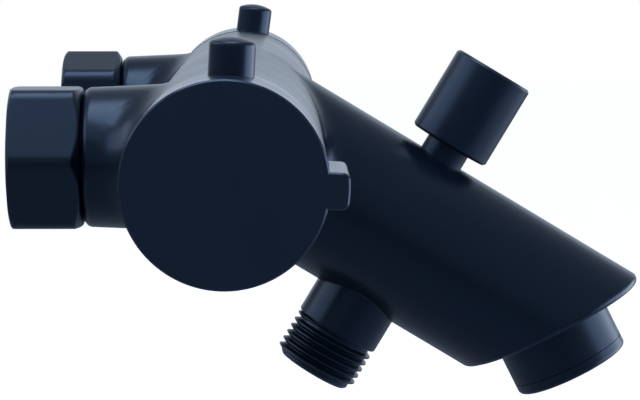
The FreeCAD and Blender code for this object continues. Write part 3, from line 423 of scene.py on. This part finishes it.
def grown(tree, sizes):
    """The plain mesh of a geometry tree whose named inputs are set to these sizes."""
    seed = bpy.data.objects.new("seed", bpy.data.meshes.new("seed"))
    bpy.context.scene.collection.objects.link(seed)
    modifier = seed.modifiers.new("grow", "NODES")
    modifier.node_group = tree
    for item in tree.interface.items_tree:
        if item.in_out == "INPUT":
            modifier[item.identifier] = sizes[item.name]
    seed.update_tag()
    ready = seed.evaluated_get(bpy.context.evaluated_depsgraph_get())
    mesh = bpy.data.meshes.new_from_object(ready)
    seed.modifiers.remove(modifier)
    bpy.data.objects.remove(seed)
    print(tree.name, "made", len(mesh.polygons), "faces")
    return mesh


# %% One object from several meshes
SHARP_EDGE = math.radians(32)


def one_piece(name, meshes, matrix, slots):
    """An object at the origin that holds all the meshes, each with the finish of its slot."""
    palette = sorted(set(slots))
    joined = bmesh.new()
    for mesh, slot in zip(meshes, slots):
        if isinstance(mesh, bmesh.types.BMesh):
            held = bpy.data.meshes.new("held")
            mesh.to_mesh(held)
            mesh.free()
            mesh = held
        before = len(joined.faces)
        joined.from_mesh(mesh)
        joined.faces.ensure_lookup_table()
        for face in joined.faces[before:]:
            face.material_index = palette.index(slot)
            face.smooth = True
    bmesh.ops.recalc_face_normals(joined, faces=joined.faces)
    joined.transform(matrix)
    mesh = bpy.data.meshes.new(name)
    joined.to_mesh(mesh)
    joined.free()
    mesh.set_sharp_from_angle(angle=SHARP_EDGE)
    for slot in palette:
        mesh.materials.append(finishes[slot])
    piece = bpy.data.objects.new(name, mesh)
    bpy.context.scene.collection.objects.link(piece)
    mesh.calc_loop_triangles()
    print(name, len(mesh.loop_triangles), "triangles")
    return piece


print("faces that meet at less than", round(math.degrees(SHARP_EDGE)), "degrees look smooth")

# %% [markdown]
# ## Shower outlet with its thread
#
# The hose screws onto a half-inch pipe thread: 20.955 mm over the crests, 18.631 mm at the
# roots and 1.814 mm from one turn to the next. The thread is cut on the lathe, so its crests
# are narrow and its end turns run out in the chamfer. Rings would look right from far away,
# but a real thread climbs, so a flat-topped profile is swept along a helix. It is a little
# wider than its groove at the root and stands in the turned core, as one outline with it.

# %% Sizes of a pipe thread
THREAD_PITCH = 1.814
THREAD_HEIGHT = 1.162
CREST_WIDTH = 0.34
OUTLET_ROOT = 9.3155
OUTLET_TURNS = 5.75
SUNK = 0.15 * MM          # how deep the swept ridge stands in the core
RIDGE_OVERLAP = 1.02      # its foot against the pitch, so that the turns touch
STEPS_PER_TURN = 96
RUN_OUT = 0.15            # size of the ridge at its two ends, against its full size
FULL_FROM, FULL_TO = 0.07, 0.95

outlet_sizes = {
    "Root Radius": OUTLET_ROOT * MM, "Crest Height": THREAD_HEIGHT * MM,
    "Pitch": THREAD_PITCH * MM, "Turns": OUTLET_TURNS, "Crest Width": CREST_WIDTH * MM}
print("over the crests:", round(2 * (OUTLET_ROOT + THREAD_HEIGHT), 3), "mm")

# %% Tree for a screw thread: the helix and the ridge's profile
thread_tree = new_tree("screw_thread", outlet_sizes)
given = add(thread_tree, "NodeGroupInput")
foot = add(thread_tree, "ShaderNodeMath", {
    0: given.outputs["Root Radius"], 1: SUNK}, operation="SUBTRACT")
climb = add(thread_tree, "ShaderNodeMath", {
    0: given.outputs["Pitch"], 1: given.outputs["Turns"]}, operation="MULTIPLY")
helix = add(thread_tree, "GeometryNodeCurveSpiral", {
    "Resolution": STEPS_PER_TURN, "Rotations": given.outputs["Turns"],
    "Start Radius": foot.outputs[0], "End Radius": foot.outputs[0],
    "Height": climb.outputs[0], "Reverse": True})
upright = add(thread_tree, "GeometryNodeSetCurveNormal", {"Curve": helix.outputs[0]}, mode="Z_UP")
tall = add(thread_tree, "ShaderNodeMath", {
    0: given.outputs["Crest Height"], 1: SUNK}, operation="ADD")
wide = add(thread_tree, "ShaderNodeMath", {
    0: given.outputs["Pitch"], 1: RIDGE_OVERLAP}, operation="MULTIPLY")
ridge = add(thread_tree, "GeometryNodeCurvePrimitiveQuadrilateral", {
    "Bottom Width": wide.outputs[0], "Top Width": given.outputs["Crest Width"],
    "Height": tall.outputs[0], "Offset": 0.0}, mode="TRAPEZOID")
half = add(thread_tree, "ShaderNodeMath", {0: tall.outputs[0], 1: 0.5}, operation="MULTIPLY")
outward = add(thread_tree, "ShaderNodeCombineXYZ", {"X": half.outputs[0]})
turned = add(thread_tree, "GeometryNodeTransform", {
    "Geometry": ridge.outputs[0], "Rotation": (0, 0, math.radians(-90)),
    "Translation": outward.outputs[0]})
print("helix and profile:", len(thread_tree.nodes), "nodes")

# %% Tree for a screw thread: the sweep, smaller towards both ends
way = add(thread_tree, "GeometryNodeSplineParameter")
rise = add(thread_tree, "ShaderNodeMapRange", {
    "Value": way.outputs["Factor"], "From Min": 0.0, "From Max": FULL_FROM,
    "To Min": RUN_OUT, "To Max": 1.0}, interpolation_type="SMOOTHSTEP")
fall = add(thread_tree, "ShaderNodeMapRange", {
    "Value": way.outputs["Factor"], "From Min": FULL_TO, "From Max": 1.0,
    "To Min": 1.0, "To Max": RUN_OUT}, interpolation_type="SMOOTHSTEP")
size = add(thread_tree, "ShaderNodeMath", {
    0: rise.outputs[0], 1: fall.outputs[0]}, operation="MULTIPLY")
swept = add(thread_tree, "GeometryNodeCurveToMesh", {
    "Curve": upright.outputs[0], "Profile Curve": turned.outputs[0], "Scale": size.outputs[0],
    "Fill Caps": True})
whole = add(thread_tree, "GeometryNodeRealizeInstances", {"Geometry": swept.outputs[0]})
coated = add(thread_tree, "GeometryNodeSetMaterial", {
    "Geometry": whole.outputs[0], "Material": finishes["knob_paint"]})
add(thread_tree, "NodeGroupOutput", {0: coated.outputs[0]})
print("whole thread tree:", len(thread_tree.nodes), "nodes")

# %% Nipple
OUTLET_BORE = 6.5
OUTLET_NECK = 10.6
OUTLET_SPIGOT = 9.45
OUTLET_GROOVE = 9.2
OUTLET_END = 40.8         # heights are negative: they count down from the diverter's seat
THREAD_START = 0.75
OUTLET_STEPS = 128

thread_mesh = grown(thread_tree, outlet_sizes)
thread_mesh.transform(Matrix.Translation((0, 0, (THREAD_START - OUTLET_END) * MM)))
core = lathe([
    (OUTLET_BORE, -40.4), (6.9, -OUTLET_END), (8.7, -OUTLET_END),  # end face
    (OUTLET_ROOT, -40.2), (OUTLET_ROOT, -29.9),                    # under the thread
    (OUTLET_GROOVE, -29.8), (OUTLET_GROOVE, -29.25),               # run-out groove
    (10.3, -29.2), (OUTLET_NECK, -28.9), (OUTLET_NECK, -17.8),     # round neck
    (OUTLET_SPIGOT, -17.8), (OUTLET_SPIGOT, -12.3),                # spigot in the spout
    (OUTLET_BORE, -12.3)], OUTLET_STEPS)
nipple = one_piece(
    "shower_outlet_nipple", [core, thread_mesh], along(DIVERTER, LIFT),
    ["knob_paint", "knob_paint"])
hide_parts("shower_outlet")
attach(nipple, "body")

# %% [markdown]
# ## Swivel nuts
#
# The two hexagon nuts are forged, ground and then lacquered thickly, so their corners are
# round and their flats run softly into the chamfers at both ends. The CAD nut has the right
# sizes but crisp edges. A Bevel modifier can't follow the curved line where a chamfer meets a
# flat. The outside is therefore worked out point by point, as the smaller of the hexagon's
# reach and the chamfer cones' reach, with a soft change from one to the other. The thread
# inside is G 3/4, made by the same tree as the outlet's and folded over so that its crests
# point inwards.

# %% Outside of a nut
NUT_LENGTH = 15.7
NUT_FLATS = 30.2
NUT_CORNER = 3.7                              # radius of the rounded corners
NUT_SOFTNESS = 0.16                           # how softly a flat runs into a chamfer
WALL_END_RADIUS, WALL_END_RISE = 15.3, 2.0    # each chamfer's radius at its end face, and
ARM_END_RADIUS, ARM_END_RISE = 14.75, 1.45    # what a millimetre further in adds to it
SIXTH = math.pi / 3


def hexagon_reach(turn):
    """How far the rounded hexagon reaches from its axis in one direction."""
    half = NUT_FLATS / 2
    off = abs((turn + SIXTH / 2) % SIXTH - SIXTH / 2)
    flat_end = math.atan2((half - NUT_CORNER) * math.tan(SIXTH / 2), half)
    if off < flat_end:
        return half / math.cos(off)
    beside = SIXTH / 2 - off
    centre = (half - NUT_CORNER) / math.cos(SIXTH / 2)
    return centre * math.cos(beside) + math.sqrt(NUT_CORNER ** 2 - (centre * math.sin(beside)) ** 2)


def cone_reach(height):
    """How far the turned ends reach at this height: a chamfer at the wall and one at the arm."""
    wall_end = WALL_END_RADIUS + height * WALL_END_RISE
    arm_end = ARM_END_RADIUS + (NUT_LENGTH - height) * ARM_END_RISE
    return min(wall_end, arm_end)


def softly_smaller(one, other):
    """The smaller of two lengths, rounded off where they cross."""
    low = min(one, other)
    return low - NUT_SOFTNESS * math.log(1 + math.exp(-abs(one - other) / NUT_SOFTNESS))


print("across the rounded corners:", round(2 * hexagon_reach(SIXTH / 2), 2), "mm")

# %% Nut mesh
LIP_DEPTH, LIP_REACH = 0.25, 0.09             # the very ends roll over by this much
NUT_HEIGHTS = [
    0.0, 0.08, 0.25, 0.5, 0.8, 1.1, 1.4, 1.7, 2.0, 2.4, 3.2, 7.8, 12.4, 13.2, 13.6, 13.9, 14.2,
    14.5, 14.8, 15.1, 15.35, 15.55, 15.65, NUT_LENGTH]
COLLAR_HOLE = 9.95
NUT_BORE = [
    (COLLAR_HOLE, NUT_LENGTH), (COLLAR_HOLE, 13.4),   # round the inlet tail
    (13.5, 13.4), (13.5, 7.6),                        # room for its collar and the washer
    (13.3, 7.4), (13.3, 0.9), (13.7, 0.0)]            # behind the thread, and the lead-in
NUT_STEPS = 240


def nut_outline(turn):
    """The closed outline of the nut in one direction: outside first, then the bore."""
    outline = []
    for height in NUT_HEIGHTS:
        reach = softly_smaller(hexagon_reach(turn), cone_reach(height))
        edge = min(height, NUT_LENGTH - height)
        outline.append((reach - LIP_DEPTH * math.exp(-edge / LIP_REACH), height))
    return outline + NUT_BORE


print("points in one outline:", len(nut_outline(0.0)))

# %% Both nuts on their tails
NUT_ROOT = 12.0585
NUT_THREAD_TURNS = 3.3
NUT_THREAD_START = 1.1
NUT_THREAD_PLAY = 0.08                        # the inside thread is this much wider
NUT_TURN = {"hot": 0.0, "cold": 18.4}         # as the two stand in the photograph

inner_sizes = dict(outlet_sizes)
inner_sizes.update({"Root Radius": NUT_ROOT * MM, "Turns": NUT_THREAD_TURNS})
for side, axis in inlet_axis.items():
    inner = grown(thread_tree, inner_sizes)
    for vertex in inner.vertices:
        far_out = math.hypot(vertex.co.x, vertex.co.y)
        folded = (2 * NUT_ROOT + THREAD_HEIGHT + NUT_THREAD_PLAY) * MM - far_out
        vertex.co.x *= folded / far_out
        vertex.co.y *= folded / far_out
        vertex.co.z += NUT_THREAD_START * MM
    body = closed_ring([nut_outline(2 * math.pi * i / NUT_STEPS) for i in range(NUT_STEPS)])
    nut = one_piece(
        side + "_nut_with_thread", [body, inner],
        axis @ Matrix.Rotation(math.radians(NUT_TURN[side]), 4, "Z"), ["nut_paint", "nut_paint"])
    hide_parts(side + "_swivel_nut")
    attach(nut, side + "_nut")
    low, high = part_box(side + "_swivel_nut")
    spans = [[v.co[k] for v in nut.data.vertices] for k in range(3)]
    print(side, "nut in the CAD model", [round((b - a) / MM, 1) for a, b in zip(low, high)],
          "and here", [round((max(span) - min(span)) / MM, 1) for span in spans])

# %% [markdown]
# ## Strainers in the inlet washers
#
# Each rubber washer holds a disc of woven steel wire that keeps grit out of the valves. A
# picture of a grid on a flat disc would be flat at the edge and from the side. Here wires are
# laid in rows, bent up and down over their neighbours, cut to the round and swept, and the
# second set is the first one turned by a quarter and laid over. Real strainer cloth has a
# pitch of about 0.5 mm; it is drawn at 0.9 mm so that it shows.

# %% Tree for woven wire: rows of straight wires
weave_sizes = {"Radius": 7.45 * MM, "Pitch": 0.9 * MM, "Wire Radius": 0.14 * MM}
WIRE_ROWS = 17
BENDS_PER_PITCH = 6

weave_tree = new_tree("woven_wire_disc", weave_sizes)
given = add(weave_tree, "NodeGroupInput")
span = add(weave_tree, "ShaderNodeMath", {
    0: given.outputs["Pitch"], 1: WIRE_ROWS - 1}, operation="MULTIPLY")
far = add(weave_tree, "ShaderNodeMath", {0: span.outputs[0], 1: 0.5}, operation="MULTIPLY")
near = add(weave_tree, "ShaderNodeMath", {0: span.outputs[0], 1: -0.5}, operation="MULTIPLY")
left = add(weave_tree, "ShaderNodeCombineXYZ", {"X": near.outputs[0]})
right = add(weave_tree, "ShaderNodeCombineXYZ", {"X": far.outputs[0]})
first = add(weave_tree, "ShaderNodeCombineXYZ", {"Y": near.outputs[0]})
step = add(weave_tree, "ShaderNodeCombineXYZ", {"Y": given.outputs["Pitch"]})
line = add(weave_tree, "GeometryNodeCurvePrimitiveLine", {
    "Start": left.outputs[0], "End": right.outputs[0]})
finely = add(weave_tree, "GeometryNodeResampleCurve", {
    "Curve": line.outputs[0], "Count": (WIRE_ROWS - 1) * BENDS_PER_PITCH + 1})
rows = add(weave_tree, "GeometryNodeMeshLine", {
    "Count": WIRE_ROWS, "Start Location": first.outputs[0], "Offset": step.outputs[0]})
laid = add(weave_tree, "GeometryNodeInstanceOnPoints", {
    "Points": rows.outputs[0], "Instance": finely.outputs[0]})
real = add(weave_tree, "GeometryNodeRealizeInstances", {"Geometry": laid.outputs[0]})
print("rows of wire:", WIRE_ROWS)

# %% Tree for woven wire: bent over and under, and cut to the round
spot = add(weave_tree, "GeometryNodeInputPosition")
axes = add(weave_tree, "ShaderNodeSeparateXYZ", {"Vector": spot.outputs[0]})
both = add(weave_tree, "ShaderNodeMath", {
    0: axes.outputs["X"], 1: axes.outputs["Y"]}, operation="ADD")
steps = add(weave_tree, "ShaderNodeMath", {
    0: both.outputs[0], 1: given.outputs["Pitch"]}, operation="DIVIDE")
phase = add(weave_tree, "ShaderNodeMath", {0: steps.outputs[0], 1: math.pi}, operation="MULTIPLY")
wave = add(weave_tree, "ShaderNodeMath", {0: phase.outputs[0]}, operation="COSINE")
sway = add(weave_tree, "ShaderNodeMath", {
    0: wave.outputs[0], 1: given.outputs["Wire Radius"]}, operation="MULTIPLY")
bend = add(weave_tree, "ShaderNodeCombineXYZ", {"Z": sway.outputs[0]})
bent = add(weave_tree, "GeometryNodeSetPosition", {
    "Geometry": real.outputs[0], "Offset": bend.outputs[0]})
reach = add(weave_tree, "ShaderNodeVectorMath", {0: spot.outputs[0]}, operation="LENGTH")
outside = add(weave_tree, "FunctionNodeCompare", {
    0: reach.outputs["Value"], 1: given.outputs["Radius"]},
    data_type="FLOAT", operation="GREATER_THAN")
cut = add(weave_tree, "GeometryNodeDeleteGeometry", {
    "Geometry": bent.outputs[0], "Selection": outside.outputs[0]}, domain="POINT")
print("wires sway by", round(weave_sizes["Wire Radius"] / MM, 2), "mm to each side")

# %% Tree for woven wire: swept, and laid over itself
WIRE_SIDES = 6

section = add(weave_tree, "GeometryNodeCurvePrimitiveCircle", {
    "Resolution": WIRE_SIDES, "Radius": given.outputs["Wire Radius"]}, mode="RADIUS")
wires = add(weave_tree, "GeometryNodeCurveToMesh", {
    "Curve": cut.outputs[0], "Profile Curve": section.outputs[0], "Fill Caps": True})
across = add(weave_tree, "GeometryNodeTransform", {
    "Geometry": wires.outputs[0], "Rotation": (math.pi, 0, math.pi / 2)})
cloth = add(weave_tree, "GeometryNodeJoinGeometry")
weave_tree.links.new(wires.outputs[0], cloth.inputs[0])
weave_tree.links.new(across.outputs[0], cloth.inputs[0])
whole = add(weave_tree, "GeometryNodeRealizeInstances", {"Geometry": cloth.outputs[0]})
steel = add(weave_tree, "GeometryNodeSetMaterial", {
    "Geometry": whole.outputs[0], "Material": finishes["spring_steel"]})
add(weave_tree, "NodeGroupOutput", {0: steel.outputs[0]})
print("whole weave tree:", len(weave_tree.nodes), "nodes")

# %% Washers with their strainers
WASHER_HOLE, WASHER_RIM = 7.2, 11.7
WASHER_FRONT, WASHER_BACK = 7.8, 9.8
WASHER_EDGE = 0.2                             # all four edges are broken by this much
WASHER_STEPS = 96
washer_outline = [
    (WASHER_HOLE, WASHER_FRONT + WASHER_EDGE), (WASHER_HOLE + WASHER_EDGE, WASHER_FRONT),
    (WASHER_RIM - WASHER_EDGE, WASHER_FRONT), (WASHER_RIM, WASHER_FRONT + WASHER_EDGE),
    (WASHER_RIM, WASHER_BACK - WASHER_EDGE), (WASHER_RIM - WASHER_EDGE, WASHER_BACK),
    (WASHER_HOLE + WASHER_EDGE, WASHER_BACK), (WASHER_HOLE, WASHER_BACK - WASHER_EDGE)]

for side, axis in inlet_axis.items():
    mesh = grown(weave_tree, weave_sizes)
    mesh.transform(Matrix.Translation((0, 0, (WASHER_FRONT + WASHER_BACK) / 2 * MM)))
    washer = one_piece(
        side + "_washer_with_strainer", [lathe(washer_outline, WASHER_STEPS), mesh],
        axis, ["seal_rubber", "spring_steel"])
    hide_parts(side + "_filter_washer")
    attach(washer, "body")

# %% [markdown]
# ## Honeycomb of the aerator
#
# The aerator's face is a moulded honeycomb of thin walls about 2 mm apart, seen when one looks
# up into the spout. Drilled holes would leave thick webs between them. A hexagon is set on
# every point of an offset grid, shared sides are merged into one, and each side becomes a
# thin upright wall.

# %% Tree for a honeycomb: a grid whose every other row is moved aside
comb_sizes = {"Radius": 9.6 * MM, "Pitch": 1.9 * MM, "Wall": 0.28 * MM, "Depth": 3.0 * MM}
CELLS_ACROSS = 15
HALF_SIXTH = math.radians(30)

comb_tree = new_tree("honeycomb_disc", comb_sizes)
given = add(comb_tree, "NodeGroupInput")
row_step = add(comb_tree, "ShaderNodeMath", {
    0: given.outputs["Pitch"], 1: math.cos(HALF_SIXTH)}, operation="MULTIPLY")
wide = add(comb_tree, "ShaderNodeMath", {
    0: given.outputs["Pitch"], 1: CELLS_ACROSS - 1}, operation="MULTIPLY")
deep = add(comb_tree, "ShaderNodeMath", {
    0: row_step.outputs[0], 1: CELLS_ACROSS - 1}, operation="MULTIPLY")
points = add(comb_tree, "GeometryNodeMeshGrid", {
    "Size X": wide.outputs[0], "Size Y": deep.outputs[0],
    "Vertices X": CELLS_ACROSS, "Vertices Y": CELLS_ACROSS})
spot = add(comb_tree, "GeometryNodeInputPosition")
axes = add(comb_tree, "ShaderNodeSeparateXYZ", {"Vector": spot.outputs[0]})
row = add(comb_tree, "ShaderNodeMath", {
    0: axes.outputs["Y"], 1: row_step.outputs[0]}, operation="DIVIDE")
parity = add(comb_tree, "ShaderNodeMath", {0: row.outputs[0], 1: 1.0}, operation="PINGPONG")
shift = add(comb_tree, "ShaderNodeMath", {
    0: parity.outputs[0], 1: given.outputs["Pitch"]}, operation="MULTIPLY")
halved = add(comb_tree, "ShaderNodeMath", {0: shift.outputs[0], 1: 0.5}, operation="MULTIPLY")
aside = add(comb_tree, "ShaderNodeCombineXYZ", {"X": halved.outputs[0]})
offset_rows = add(comb_tree, "GeometryNodeSetPosition", {
    "Geometry": points.outputs[0], "Offset": aside.outputs[0]})
reach = add(comb_tree, "ShaderNodeVectorMath", {0: spot.outputs[0]}, operation="LENGTH")
edge = add(comb_tree, "ShaderNodeMath", {
    0: given.outputs["Radius"], 1: given.outputs["Pitch"]}, operation="SUBTRACT")
outside = add(comb_tree, "FunctionNodeCompare", {
    0: reach.outputs["Value"], 1: edge.outputs[0]}, data_type="FLOAT", operation="GREATER_THAN")
kept = add(comb_tree, "GeometryNodeDeleteGeometry", {
    "Geometry": offset_rows.outputs[0], "Selection": outside.outputs[0]}, domain="POINT")
print("grid points before the cut:", CELLS_ACROSS ** 2)

# %% Tree for a honeycomb: a hexagon on each point, and a wall on each side
MERGE_WITHIN = 0.1 * MM

corner = add(comb_tree, "ShaderNodeMath", {
    0: given.outputs["Pitch"], 1: 2 * math.cos(HALF_SIXTH)}, operation="DIVIDE")
hexagon = add(comb_tree, "GeometryNodeMeshCircle", {"Vertices": 6, "Radius": corner.outputs[0]})
stood = add(comb_tree, "GeometryNodeTransform", {
    "Geometry": hexagon.outputs[0], "Rotation": (0, 0, HALF_SIXTH)})
cells = add(comb_tree, "GeometryNodeInstanceOnPoints", {
    "Points": kept.outputs[0], "Instance": stood.outputs[0]})
real = add(comb_tree, "GeometryNodeRealizeInstances", {"Geometry": cells.outputs[0]})
shared = add(comb_tree, "GeometryNodeMergeByDistance", {
    "Geometry": real.outputs[0], "Distance": MERGE_WITHIN})
apart = add(comb_tree, "GeometryNodeSplitEdges", {"Mesh": shared.outputs[0]})
sides = add(comb_tree, "GeometryNodeMeshToCurve", {"Mesh": apart.outputs[0]})
level_sides = add(comb_tree, "GeometryNodeSetCurveNormal", {
    "Curve": sides.outputs[0]}, mode="Z_UP")
wall = add(comb_tree, "GeometryNodeCurvePrimitiveQuadrilateral", {
    "Width": given.outputs["Wall"], "Height": given.outputs["Depth"]}, mode="RECTANGLE")
walls = add(comb_tree, "GeometryNodeCurveToMesh", {
    "Curve": level_sides.outputs[0], "Profile Curve": wall.outputs[0], "Fill Caps": True})
whole = add(comb_tree, "GeometryNodeRealizeInstances", {"Geometry": walls.outputs[0]})
plastic = add(comb_tree, "GeometryNodeSetMaterial", {
    "Geometry": whole.outputs[0], "Material": finishes["insert_plastic"]})
add(comb_tree, "NodeGroupOutput", {0: plastic.outputs[0]})
print("whole honeycomb tree:", len(comb_tree.nodes), "nodes")

# %% Aerator insert
INSERT_LOW, INSERT_HIGH = 4.3, 12.9
INSERT_HOLE, INSERT_INSIDE, INSERT_OUTSIDE = 0.6, 9.3, 10.2
INSERT_FLOOR = 1.0
COMB_SET_BACK = 0.1
INSERT_STEPS = 96

comb = grown(comb_tree, comb_sizes)
comb_middle = INSERT_HIGH * MM - comb_sizes["Depth"] / 2 - COMB_SET_BACK * MM
comb.transform(Matrix.Translation((0, 0, comb_middle)))
rim = lathe([
    (INSERT_INSIDE, INSERT_HIGH), (INSERT_OUTSIDE, INSERT_HIGH), (INSERT_OUTSIDE, INSERT_LOW),
    (INSERT_HOLE, INSERT_LOW), (INSERT_HOLE, INSERT_LOW + INSERT_FLOOR),
    (INSERT_INSIDE, INSERT_LOW + INSERT_FLOOR)], INSERT_STEPS)
insert = one_piece(
    "aerator_honeycomb", [rim, comb], along(MOUTH, POUR), ["insert_plastic", "insert_plastic"])
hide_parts("aerator_insert")
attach(insert, "body")
